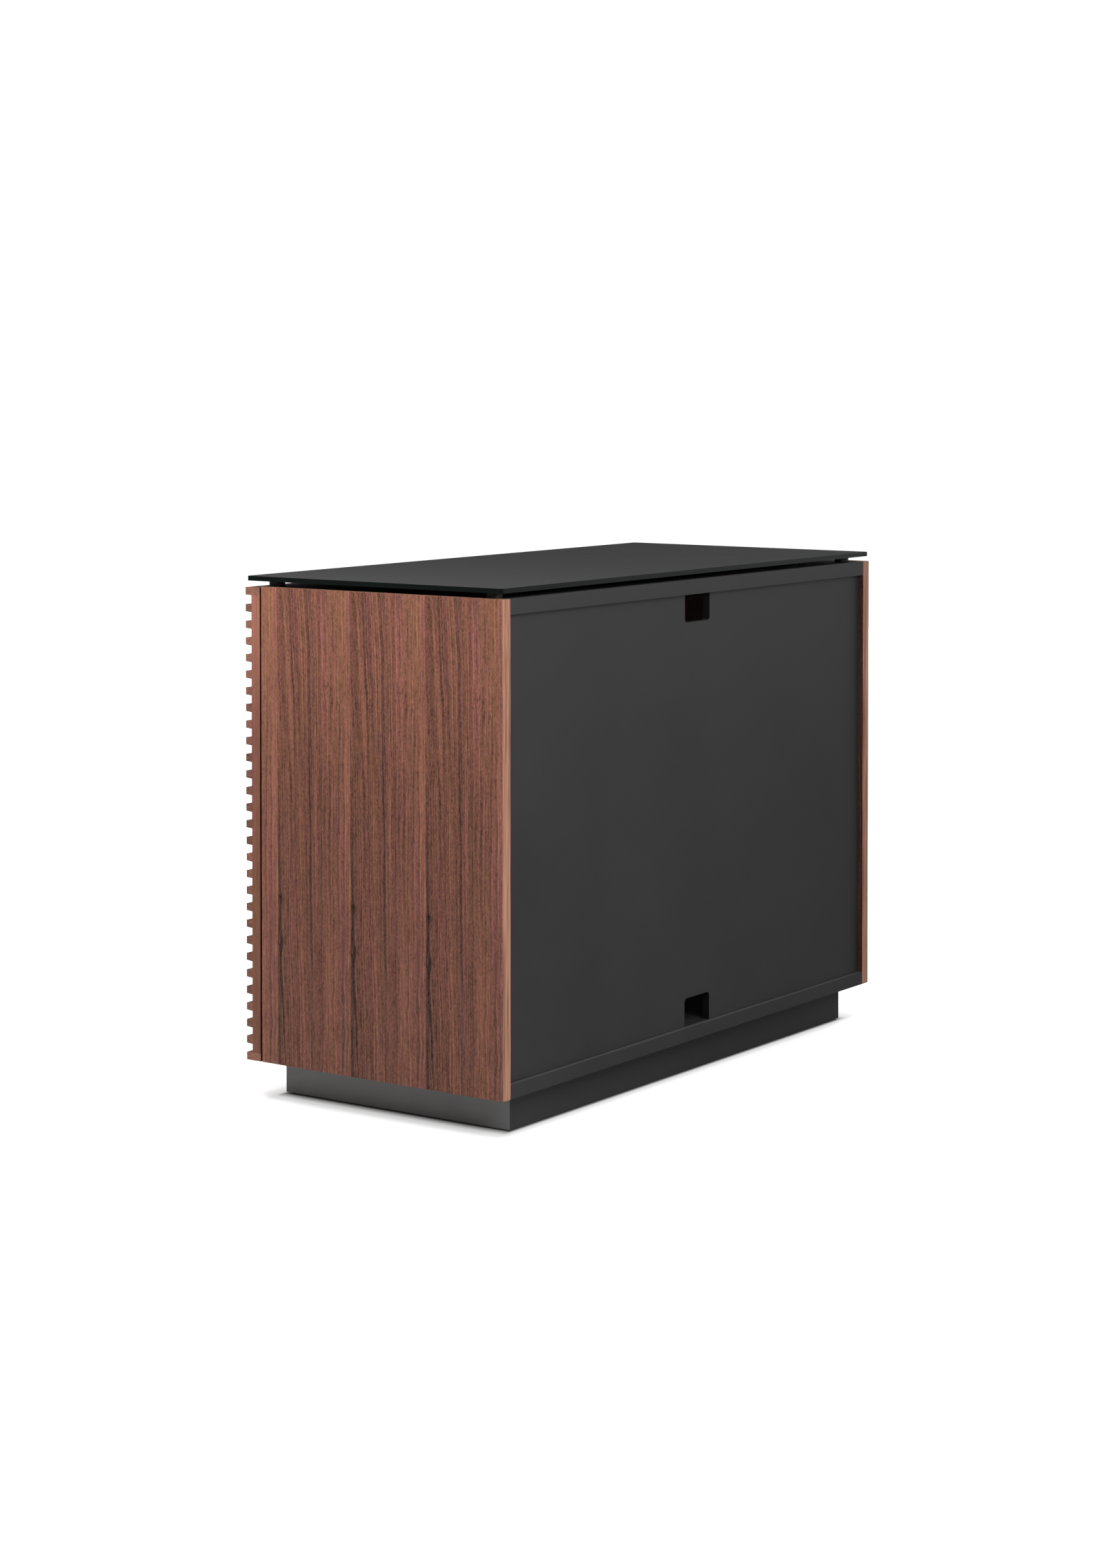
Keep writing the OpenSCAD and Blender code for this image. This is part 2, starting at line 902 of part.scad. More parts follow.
module right_door_mullion() {
    color(walnut) mullion();
}

module right_door_slats() {
    color(walnut) slats();
}

module right_hinge_cups() {
    color(steel) door_hinge_cups();
}

module right_hinge_pins() {
    color(steel) door_hinge_pins();
}

module right_cup_screws() {
    color(steel) door_cup_screws();
}

module right_strike_plate() {
    color(steel) strike();
}

// ---------- left door ----------

module left_door_top_rail() {
    color(walnut) mirror([1, 0, 0]) door_rail(door_top - rail_h);
}

module left_door_bottom_rail() {
    color(walnut) mirror([1, 0, 0]) door_rail(carcass_z);
}

module left_door_outer_stile() {
    color(walnut) mirror([1, 0, 0]) outer_stile();
}

module left_door_inner_stile() {
    color(walnut) mirror([1, 0, 0]) inner_stile();
}

module left_door_mullion() {
    color(walnut) mirror([1, 0, 0]) mullion();
}

module left_door_slats() {
    color(walnut) mirror([1, 0, 0]) slats();
}

module left_hinge_cups() {
    color(steel) mirror([1, 0, 0]) door_hinge_cups();
}

module left_hinge_pins() {
    color(steel) mirror([1, 0, 0]) door_hinge_pins();
}

module left_cup_screws() {
    color(steel) mirror([1, 0, 0]) door_cup_screws();
}

module left_strike_plate() {
    color(steel) mirror([1, 0, 0]) strike();
}

right_side_panel();
left_side_panel();
top_board();
bottom_board();
centre_divider();
right_shelf();
left_shelf();
shelf_pins();
cam_locks();
cam_bolts();
dowels();
right_rear_cleat();
left_rear_cleat();
cleat_screws();
panel_sockets();
plinth_front();
plinth_rear();
plinth_right();
plinth_left();
plinth_cross_rail();
corner_blocks();
block_screws();
foot_inserts();
glass_standoffs();
standoff_screws();
glass_pads();
glass_top();
hinge_plates();
hinge_arms();
hinge_plate_screws();
door_catches();
catch_screws();
right_door_top_rail();
right_door_bottom_rail();
right_door_outer_stile();
right_door_inner_stile();
right_door_mullion();
right_door_slats();
right_hinge_cups();
right_hinge_pins();
right_cup_screws();
right_strike_plate();
left_door_top_rail();
left_door_bottom_rail();
left_door_outer_stile();
left_door_inner_stile();
left_door_mullion();
left_door_slats();
left_hinge_cups();
left_hinge_pins();
left_cup_screws();
left_strike_plate();
rear_panel();
rear_panel_studs();
foot_front_right();
foot_front_left();
foot_rear_right();
foot_rear_left();
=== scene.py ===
"""Looks for the louvred media cabinet: walnut, black lacquer, etched black glass and plated metal."""

import json
import math

import bpy
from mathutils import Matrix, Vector


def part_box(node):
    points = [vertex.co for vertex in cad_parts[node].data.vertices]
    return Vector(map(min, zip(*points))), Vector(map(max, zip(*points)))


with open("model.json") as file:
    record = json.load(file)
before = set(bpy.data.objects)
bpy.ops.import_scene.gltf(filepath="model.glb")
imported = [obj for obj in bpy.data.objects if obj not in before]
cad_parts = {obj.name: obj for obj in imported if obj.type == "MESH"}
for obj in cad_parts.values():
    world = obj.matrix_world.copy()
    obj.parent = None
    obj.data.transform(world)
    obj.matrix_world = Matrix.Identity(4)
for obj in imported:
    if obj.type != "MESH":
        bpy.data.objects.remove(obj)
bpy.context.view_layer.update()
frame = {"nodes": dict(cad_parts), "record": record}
nodes = frame["nodes"]
MM = 0.001


# ---------- measures taken from the frame ----------

panel_low, panel_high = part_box("right_side_panel")
slats_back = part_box("right_door_slats")[1].y
rear_panel_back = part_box("rear_panel")[1].y
plinth_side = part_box("plinth_right")[1].x
plinth_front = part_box("plinth_front")[0].y
plinth_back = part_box("plinth_rear")[1].y
rail_low, rail_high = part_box("right_door_bottom_rail")
top_rail_low, top_rail_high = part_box("right_door_top_rail")

rail_height = rail_high.z - rail_low.z
top_rail_z = (top_rail_low.z + top_rail_high.z) / 2
bottom_rail_z = (rail_low.z + rail_high.z) / 2
SLATS_PER_DOOR = 27
slat_pitch = (top_rail_z - bottom_rail_z) / (SLATS_PER_DOOR + 1)


# ---------- camera ----------

CAMERA_PLACE = Vector((3.9769, 2.75626, 1.07555))
CAMERA_AZIMUTH = math.radians(125.006)
CAMERA_ELEVATION = math.radians(1.734)
CAMERA_LENS_MM = 72.113
CAMERA_SENSOR_MM = 36.0
CAMERA_SHIFT_Y = -0.21
CAMERA_REACH = 60.0


def make_camera():
    """The photograph's camera, by its place, the way it looks and its shift."""
    data = bpy.data.cameras.new("camera")
    data.lens = CAMERA_LENS_MM
    data.sensor_width = CAMERA_SENSOR_MM
    data.shift_y = CAMERA_SHIFT_Y
    data.clip_end = CAMERA_REACH
    camera = bpy.data.objects.new("camera", data)
    bpy.context.scene.collection.objects.link(camera)
    back = Vector((
        math.sin(CAMERA_AZIMUTH) * math.cos(CAMERA_ELEVATION),
        -math.cos(CAMERA_AZIMUTH) * math.cos(CAMERA_ELEVATION),
        math.sin(CAMERA_ELEVATION),
    ))
    camera.location = CAMERA_PLACE
    camera.rotation_mode = "QUATERNION"
    camera.rotation_quaternion = (-back).to_track_quat("-Z", "Y")
    bpy.context.scene.camera = camera


# ---------- node graphs ----------

# The span that most of a noise texture's values fall in
NOISE_SPAN = (0.3, 0.7)
# How squarely a face has to look along an axis to count as facing it
FACING_LIMIT = 0.6


class Nodes:
    """A node tree, with short ways to add and join nodes. A value is a socket or a constant."""

    def __init__(self, tree):
        self.tree = tree

    def add(self, kind, **settings):
        node = self.tree.nodes.new(kind)
        for key, value in settings.items():
            setattr(node, key, value)
        return node

    def put(self, socket, value):
        """Joins value to socket, or sets it when value is a constant."""
        if isinstance(value, bpy.types.NodeSocket):
            self.tree.links.new(value, socket)
        elif hasattr(value, "__len__") and socket.type == "RGBA" and len(value) == 3:
            socket.default_value = (*value, 1.0)
        else:
            socket.default_value = value

    def fill(self, kind, values, **settings):
        """Adds a node and puts values into its first sockets."""
        node = self.add(kind, **settings)
        for socket, value in zip(node.inputs, values):
            self.put(socket, value)
        return node

    def math(self, operation, *values):
        return self.fill("ShaderNodeMath", values, operation=operation).outputs[0]

    def minus(self, first, second):
        return self.math("SUBTRACT", first, second)

    def over(self, first, second):
        return self.math("DIVIDE", first, second)

    def times(self, first, *others):
        for other in others:
            first = self.math("MULTIPLY", first, other)
        return first

    def total(self, *terms):
        """The sum of terms, each a value or a tuple of values to multiply."""
        values = [self.times(*term) if isinstance(term, tuple) else term for term in terms]
        result = values[0]
        for value in values[1:]:
            result = self.math("ADD", result, value)
        return result

    def either(self, first, second):
        return self.math("MAXIMUM", first, second)

    def above(self, value, limit):
        """1 where value is above limit and 0 elsewhere."""
        return self.math("GREATER_THAN", value, limit)

    def below(self, value, limit):
        """1 where value is below limit and 0 elsewhere."""
        return self.math("LESS_THAN", value, limit)

    def size(self, value):
        return self.math("ABSOLUTE", value)

    def length(self, first, second):
        """The length of a vector with two parts."""
        return self.math("SQRT", self.total((first, first), (second, second)))

    def pulse(self, value, centre, width):
        """1 where value is at centre, falling smoothly to 0 on either side."""
        offset = self.over(self.minus(value, centre), width)
        return self.math("EXPONENT", self.times(offset, offset, -1.0))

    def vector(self, operation, *values):
        node = self.fill("ShaderNodeVectorMath", values, operation=operation)
        return node.outputs["Value" if operation == "DOT_PRODUCT" else "Vector"]

    def combine(self, x, y, z):
        return self.fill("ShaderNodeCombineXYZ", (x, y, z)).outputs[0]

    def grey(self, value):
        return self.combine(value, value, value)

    def separate(self, vector):
        return self.fill("ShaderNodeSeparateXYZ", (vector,)).outputs

    def noise(self, vector, scale, detail, roughness=0.5):
        node = self.add("ShaderNodeTexNoise")
        self.put(node.inputs["Vector"], vector)
        node.inputs["Scale"].default_value = scale
        node.inputs["Detail"].default_value = detail
        node.inputs["Roughness"].default_value = roughness
        return node.outputs["Fac"]

    def random(self, value):
        node = self.add("ShaderNodeTexWhiteNoise", noise_dimensions="1D")
        self.put(node.inputs["W"], value)
        return node.outputs["Value"]

    def ramp(self, factor, stops):
        """A colour ramp. stops is a list of (place, grey or colour)."""
        node = self.add("ShaderNodeValToRGB")
        elements = node.color_ramp.elements
        while len(elements) < len(stops):
            elements.new(0.5)
        for element, (place, colour) in zip(elements, stops):
            element.position = place
            colour = colour if hasattr(colour, "__len__") else (colour,) * 3
            element.color = (*colour, 1.0)
        self.put(node.inputs[0], factor)
        return node.outputs[0]

    def range(self, value, low, high, to_low=0.0, to_high=1.0, smooth=False):
        """to_low where value is low, to_high where it is high, and between them in between."""
        node = self.fill("ShaderNodeMapRange", (value, low, high, to_low, to_high), clamp=True)
        if smooth:
            node.interpolation_type = "SMOOTHSTEP"
        return node.outputs[0]

    def spread(self, noise, low, high):
        """A noise stretched from low to high over the span that it mostly fills."""
        return self.range(noise, *NOISE_SPAN, low, high)

    def drift(self, noise, middle, change):
        """A value round middle, which the noise takes down and up by the two parts of change."""
        return self.spread(noise, middle + change[0], middle + change[1])

    def mix(self, factor, first, second, blend="MIX"):
        node = self.add("ShaderNodeMix", data_type="RGBA", blend_type=blend)
        self.put(node.inputs[0], factor)
        self.put(node.inputs[6], first)
        self.put(node.inputs[7], second)
        return node.outputs[2]

    def shaded(self, colour, brightness):
        """colour times brightness, which may go past 1."""
        return self.mix(1.0, colour, self.grey(brightness), blend="MULTIPLY")

    def choose(self, factor, first, second):
        """first where factor is 0 and second where it is 1, for plain numbers."""
        return self.total(first, (factor, self.minus(second, first)))

    def place(self):
        """The point in the part's frame, at rest, in metres."""
        return self.add("ShaderNodeTexCoord").outputs["Object"]

    def facing(self, axis):
        """1 on faces that face along the axis, either way, and 0 on others."""
        normal = self.separate(self.add("ShaderNodeTexCoord").outputs["Normal"])[axis]
        return self.above(self.size(normal), FACING_LIMIT)

    def seen(self):
        """1 for light that the camera sees directly and 0 for all other light."""
        return self.add("ShaderNodeLightPath").outputs["Is Camera Ray"]


class Material(Nodes):
    """The nodes of a new material, built round one shader."""

    def __init__(self, name):
        self.material = bpy.data.materials.new(name)
        self.material.use_nodes = True
        super().__init__(self.material.node_tree)
        self.tree.nodes.clear()
        output = self.add("ShaderNodeOutputMaterial")
        self.shader = self.add("ShaderNodeBsdfPrincipled")
        self.tree.links.new(self.shader.outputs[0], output.inputs["Surface"])

    def surface(self, **values):
        """Sets the shader's sockets by name, with _ for a space."""
        for key, value in values.items():
            self.put(self.shader.inputs[key.replace("_", " ")], value)

    def bump(self, height, strength, distance):
        node = self.add("ShaderNodeBump")
        node.inputs["Strength"].default_value = strength
        node.inputs["Distance"].default_value = distance
        self.put(node.inputs["Height"], height)
        self.put(self.shader.inputs["Normal"], node.outputs[0])


# ---------- walnut, both kinds ----------

WALNUT_RED = (0.226, 0.080, 0.068)
WALNUT_TAN = (0.205, 0.094, 0.049)
WALNUT_GREY = (0.116, 0.058, 0.044)
WALNUT_PORE = (0.070, 0.034, 0.024)
WALNUT_SHINE = 0.18
# Where the pore noise is high enough to show as open pores
OPEN_PORES = (0.10, 0.24)
# How much the thin streaks stand up and the pores sink in
THIN_RELIEF = 0.6
PORE_RELIEF = -0.8


def streaks(g, across, along, seed, streak):
    """Noise drawn out along the grain, from about -0.5 to 0.5.

    streak is its own seed, the width and length of one streak, the detail and the roughness.
    """
    own_seed, width, length, detail, roughness = streak
    vector = g.combine(g.over(across, width), g.over(along, length), g.math("ADD", seed, own_seed))
    return g.minus(g.noise(vector, 1.0, detail, roughness), 0.5)


def spot(g, across, along, place, width, length):
    """1 at the middle of an oval mark and 0 away from it."""
    return g.times(g.pulse(across, place[0], width), g.pulse(along, place[1], length))


def streak_set(g, across, along, seed, table):
    """The streaks of a table, by name."""
    return {name: streaks(g, across, along, seed, streak) for name, streak in table.items()}


def weighted(grain, shares):
    """(streaks, share) pairs for a sum."""
    return [(grain[name], share) for name, share in shares.items()]


# ---------- veneer of the side panels ----------

# Leaves: width, the y of one seam, and how far each one's figure is out of step with the next
LEAF_WIDTH = 0.1346
LEAF_SEAM = -0.1715
LEAF_STEP = 0.0011
# Gives the two panels figures of their own
SIDE_SEED = 0.37

# Below, a place in a leaf is (across from its left edge, up from the floor), and four numbers
# that shape something are low, high, the value at low and the value at high.

# The grain leans at the left of a leaf, not at its top and more and more below it
LEAN = (0.045, 0.105, -0.022, 0.0)
LEAN_TOP = 0.744
LEAN_DECAY = 0.22
# It shifts a little at the left of the foot too
FOOT_HEIGHT = (0.18, 0.05, 0.0, -0.009)
FOOT_WIDTH = (0.01, 0.03, 1.0, 0.0)
# Bends of the grain: streaks, and how far they push it
SLOW_BEND = (0.0, 0.110, 0.380, 2.0, 0.5)
SLOW_PUSH = 0.012
WOBBLE = (0.0, 0.018, 0.075, 2.0, 0.5)
WOBBLE_PUSH = 0.0065
CURL = (0.0, 0.0075, 0.013, 2.0, 0.6)
CURL_PUSH = 0.018
# Where the grain curls and where it wavers like a flame: place, width and length
CURLED = [((0.093, 0.620), 0.013, 0.032), ((0.120, 0.588), 0.012, 0.007)]
FLAME = ((0.108, 0.130), 0.020, 0.050)
FLAME_PUSH = 0.024
# Small knots: place, size, and how far the grain bends round each
KNOTS = [
    ((0.090, 0.612), 0.0060, 1.3),
    ((0.113, 0.402), 0.0032, 1.2),
    ((0.0045, 0.299), 0.0050, 1.5),
    ((0.0055, 0.236), 0.0055, 1.6),
    ((0.0065, 0.504), 0.0050, 1.3),
    ((0.041, 0.270), 0.0050, 1.2),
]
# Knots are longer than they are wide
KNOT_SQUASH = 0.6
# Dark marks at the knots: place and length
MARKS = [
    ((0.113, 0.402), 0.0030),
    ((0.0045, 0.297), 0.0070),
    ((0.0060, 0.237), 0.0070),
    ((0.0055, 0.504), 0.0070),
    ((0.0945, 0.612), 0.0070),
    ((0.0985, 0.603), 0.0070),
    ((0.1010, 0.585), 0.0070),
]
MARK_WIDTH = 0.0018
MARK_DEPTH = -0.36
# The dark vein: place, width, wander, fading and bends (height, length, shift), then how dark
# it is, and the share of that which doesn't follow the thin streaks
VEIN_OFFSET = -0.0035
VEIN_WIDTH = 0.0034
VEIN_WANDER = 0.008
VEIN_FADE = (0.54, 0.32, 0.12, 1.0)
VEIN_BENDS = [(0.295, 0.015, -0.0050), (0.236, 0.012, -0.0062), (0.504, 0.016, -0.0035)]
VEIN_DEPTH = -0.19
VEIN_EVENNESS = 0.7
# The light line at the right of a leaf: place, width, where it ends, and how light it is
SEAM_PLACE = 0.1328
SEAM_WIDTH = 0.0010
SEAM_TOP = (0.59, 0.54)
SEAM_FOOT = (0.19, 0.25)
SEAM_LIFT = 0.34

# Streaks of the figure, which bend with the grain, and of the surface, which don't. Each has
# its own seed, the width and length of one streak, the detail and the roughness.
FIGURE = {
    "broad": (0.0, 0.0120, 0.90, 1.0, 0.6),
    "medium": (6.3, 0.0046, 0.60, 1.0, 0.6),
    "thin": (7.7, 0.0020, 0.26, 2.0, 0.6),
    "mottle": (9.3, 0.0030, 0.026, 2.0, 0.6),
    "hue": (5.5, 0.0030, 0.45, 2.0, 0.6),
}
SURFACE = {
    "speckle": (4.1, 0.0019, 0.0042, 1.0, 0.7),
    "pores": (1.9, 0.0006, 0.0045, 2.0, 0.7),
    "flecks": (8.8, 0.0021, 0.0040, 1.0, 0.6),
}
PANEL_CONTRAST = {
    "broad": 0.30, "medium": 0.85, "thin": 1.35, "mottle": 0.95, "speckle": 1.45, "pores": 0.5,
}
# The lightest thin streaks are lifted once more
PALE_THREADS = (0.03, 0.18, 0.0, 0.34)
PANEL_BASE = 0.43
# The tone across a leaf: (share of its width, tone)
LEAF_TONES = [
    (0.00, 0.27), (0.05, 0.29), (0.12, 0.38), (0.22, 0.43), (0.34, 0.47), (0.46, 0.46),
    (0.55, 0.49), (0.66, 0.56), (0.76, 0.62), (0.86, 0.66), (0.96, 0.73), (1.00, 0.76),
]
# Painted light: the panel gets lighter towards its front edge
FRONT_PAINTED_LIGHT = 0.24
FRONT_PAINTED_LIGHT_REACH = 0.08
PANEL_HUE = (-0.20, 0.20)
FLECK_HUE = 0.8
# Which streaks go grey, how much the vein does, and where grey starts and is full
PANEL_GREY_SHARES = {"medium": 0.8, "broad": 0.5}
VEIN_GREY = -0.3
PANEL_GREY = (-0.05, -0.26)
PANEL_PORE_TINT = 0.25
PORE_ROUGHNESS = 0.3
PANEL_ROUGHNESS = (-0.3, 0.5, 0.40, 0.56)
# Here and below, a bump is its strength and its height in metres
PANEL_BUMP = (0.18, 0.00012)
# Painted shade: faces that look into the cabinet are darker, standing in for the shade inside it
INNER_FACE_PAINTED_SHADE = 0.35
INNER_FACE_DEPTH = 2 * MM

# Edge bands: their colours, streaks, and the painted shade low and high on the panel, darker towards the
# bottom
EDGE_DARK = (0.245, 0.110, 0.072)
EDGE_LIGHT = (0.60, 0.315, 0.215)
BAND_FINE = (2.2, 0.0011, 0.09, 3.0, 0.6)
BAND_BROAD = (4.4, 0.006, 0.30, 2.0, 0.5)
BAND_FINE_SHARE = 1.2
BAND_TONES = (-0.22, 0.20)
BAND_PAINTED_SHADE = (0.1, 0.7, 0.84, 1.02)


def knot(g, u, up, place, size, push):
    """How far the grain is pushed sideways round a small knot."""
    dx = g.minus(u, place[0])
    dz = g.times(g.minus(up, place[1]), KNOT_SQUASH)
    reach = g.over(g.total((dx, dx), (dz, dz)), -size * size)
    return g.times(dx, g.math("EXPONENT", reach), -push)


def bent_grain(g, u, up, side, wobble):
    """u after the grain has leaned, wandered, curled and bent round its knots."""
    fallen = g.math("EXPONENT", g.over(g.minus(up, LEAN_TOP), LEAN_DECAY))
    lean = g.times(g.minus(1.0, fallen), g.range(u, *LEAN, smooth=True))
    foot = g.times(g.range(up, *FOOT_HEIGHT), g.range(u, *FOOT_WIDTH, smooth=True))
    curled = g.either(*(spot(g, u, up, *details) for details in CURLED))
    return g.total(
        u, lean, foot,
        (streaks(g, u, up, side, SLOW_BEND), SLOW_PUSH),
        (wobble, WOBBLE_PUSH),
        (streaks(g, u, up, side, CURL), curled, CURL_PUSH),
        (wobble, spot(g, u, up, *FLAME), FLAME_PUSH),
        *(knot(g, u, up, *details) for details in KNOTS),
    )


def dark_vein(g, u, up, wobble):
    """1 along the dark wavy vein down the lower left of a leaf."""
    bends = [(g.pulse(up, height, length), shift) for height, length, shift in VEIN_BENDS]
    offset = g.total(u, (wobble, VEIN_WANDER), VEIN_OFFSET, *bends)
    return g.times(g.pulse(offset, 0.0, VEIN_WIDTH), g.range(up, *VEIN_FADE, smooth=True))


def knot_marks(g, u, up):
    """1 on the dark marks at the knots."""
    marks = 0.0
    for place, length in MARKS:
        marks = g.either(marks, spot(g, u, up, place, MARK_WIDTH, length))
    return marks


def light_seam(g, u, up):
    """1 along the light line at the right of a leaf."""
    return g.times(g.pulse(u, SEAM_PLACE, SEAM_WIDTH), g.range(up, *SEAM_TOP), g.range(up, *SEAM_FOOT))


def edge_band(g, x, y, z, on_end):
    """The colour of a plain, lighter strip with its own straight grain, with painted shade that darkens
    it towards the bottom.
    """
    along = g.choose(on_end, z, y)
    fine = streaks(g, x, along, 0.0, BAND_FINE)
    broad = streaks(g, x, along, 0.0, BAND_BROAD)
    band = g.mix(g.range(g.total((fine, BAND_FINE_SHARE), broad), *BAND_TONES), EDGE_DARK, EDGE_LIGHT)
    # Painted shade: the band darkens towards the bottom
    return g.shaded(band, g.range(z, *BAND_PAINTED_SHADE))


def panel_walnut():
    """Slip-matched veneer leaves with upright grain on the faces, and plain bands on the edges; with
    painted shade on the inner faces and low on the edge bands, and painted light towards the front edge.
    """
    g = Material("walnut_panel")
    x, y, z = g.separate(g.place())
    on_end = g.facing(2)
    side = g.times(g.math("SIGN", x), SIDE_SEED)

    # The same figure again and again: u across a leaf, up along it, v across its bent grain
    leaf_place = g.over(g.minus(y, LEAF_SEAM - LEAF_WIDTH), LEAF_WIDTH)
    u = g.times(g.math("FRACT", leaf_place), LEAF_WIDTH)
    up = g.total(z, (g.math("FLOOR", leaf_place), LEAF_STEP))
    wobble = streaks(g, u, up, side, WOBBLE)
    v = bent_grain(g, u, up, side, wobble)
    grain = streak_set(g, v, up, side, FIGURE) | streak_set(g, u, up, side, SURFACE)
    thin = grain["thin"]
    vein = dark_vein(g, u, up, wobble)
    brightness = g.total(
        g.ramp(g.over(u, LEAF_WIDTH), LEAF_TONES),
        *weighted(grain, PANEL_CONTRAST),
        g.range(thin, *PALE_THREADS),
        (vein, g.total(thin, VEIN_EVENNESS), VEIN_DEPTH),
        (knot_marks(g, u, up), MARK_DEPTH),
        (light_seam(g, u, up), SEAM_LIFT),
        # Painted light towards the front edge of the panel
        g.range(y, panel_low.y, panel_low.y + FRONT_PAINTED_LIGHT_REACH, FRONT_PAINTED_LIGHT, 0.0),
        PANEL_BASE,
    )

    # Hue wanders from red to tan in stripes of its own, and the dark stripes go grey
    hue = g.total(grain["hue"], (grain["flecks"], FLECK_HUE))
    dark = g.total(*weighted(grain, PANEL_GREY_SHARES), (vein, VEIN_GREY))
    face = g.mix(g.range(hue, *PANEL_HUE), WALNUT_RED, WALNUT_TAN)
    face = g.shaded(g.mix(g.range(dark, *PANEL_GREY), face, WALNUT_GREY), brightness)
    open_pores = g.range(grain["pores"], *OPEN_PORES)
    face = g.mix(g.times(open_pores, PANEL_PORE_TINT), face, WALNUT_PORE)
    # Painted shade: the faces that look into the cabinet are darkened
    painted_inner_shade = g.times(g.below(g.size(x), panel_high.x - INNER_FACE_DEPTH), g.facing(0))
    face = g.shaded(face, g.range(painted_inner_shade, 0.0, 1.0, 1.0, INNER_FACE_PAINTED_SHADE))

    rim = g.either(g.facing(1), on_end)
    g.surface(
        Base_Color=g.mix(rim, face, edge_band(g, x, y, z, on_end)),
        Roughness=g.range(g.total(thin, (open_pores, PORE_ROUGHNESS)), *PANEL_ROUGHNESS),
        Specular_IOR_Level=WALNUT_SHINE,
    )
    g.bump(g.total((thin, THIN_RELIEF), (open_pores, PORE_RELIEF)), *PANEL_BUMP)
    return g.material


# ---------- solid walnut of the doors ----------

DOOR_STREAKS = {
    "medium": (0.0, 0.0046, 0.50, 2.0, 0.6),
    "thin": (5.0, 0.0016, 0.20, 2.0, 0.6),
    "mottle": (7.0, 0.0040, 0.030, 2.0, 0.6),
    "pores": (9.0, 0.0006, 0.0060, 2.0, 0.7),
    "hue": (3.0, 0.0070, 0.40, 2.0, 0.6),
}
DOOR_CONTRAST = {"medium": 0.8, "thin": 0.6, "mottle": 0.50, "pores": 0.35}
DOOR_WANDER = (0.0, 0.330, 0.085, 2.0, 0.5)
DOOR_WANDER_PUSH = 0.010
# The grain runs aslant through a piece's thickness
DOOR_SLANT = 0.6
# Pieces get seeds of their own, and the two doors differ
DOOR_SEED = 41.0
PIECE_SEED = 60.0
# The pieces differ in tone, and painted light makes the stiles paler towards the top
PIECE_CONTRAST = 0.42
STILE_PAINTED_LIGHT = (0.50, 0.72, 0.0, 0.56)
DOOR_HUE = (-0.22, 0.22)
DOOR_GREY = (-0.06, -0.26)
DOOR_PORE_TINT = 0.35
DOOR_ROUGHNESS = (-0.3, 0.3, 0.42, 0.56)
DOOR_BUMP = (0.2, 0.00012)
# Painted shade: backs of the doors are darker, and darkest where they meet the side panels, in the shade
# of the gap
DOOR_BACK_PAINTED_SHADE = 0.65
DOOR_EDGE_PAINTED_SHADE = 0.15
DOOR_BACK_DEPTH = 1 * MM
# How far behind the slats the wood still counts as theirs
SLAT_MARGIN = 0.1 * MM
# End grain: its colour, and features to a metre of its rings and dots
END_GRAIN = (0.270, 0.124, 0.088)
RING_SCALES = (160.0, 420.0)
DOT_SCALE = 2600.0
RING_CONTRAST = 1.4
END_PIECE_CONTRAST = 0.6
END_DOTS = (0.58, 0.68, 0.0, 0.5)


def end_grain(g, y, z, seed, tone):
    """The colour of a piece cut across: fine dots in faint rings."""
    ring_place = g.combine(g.times(y, RING_SCALES[0]), g.times(z, RING_SCALES[1]), seed)
    dot_place = g.combine(g.times(y, DOT_SCALE), g.times(z, DOT_SCALE), seed)
    ring = g.minus(g.noise(ring_place, 1.0, 3.0, 0.6), 0.5)
    end = g.shaded(END_GRAIN, g.total((ring, RING_CONTRAST), (tone, END_PIECE_CONTRAST), 1.0))
    return g.mix(g.range(g.noise(dot_place, 1.0, 1.0), *END_DOTS), end, WALNUT_PORE)


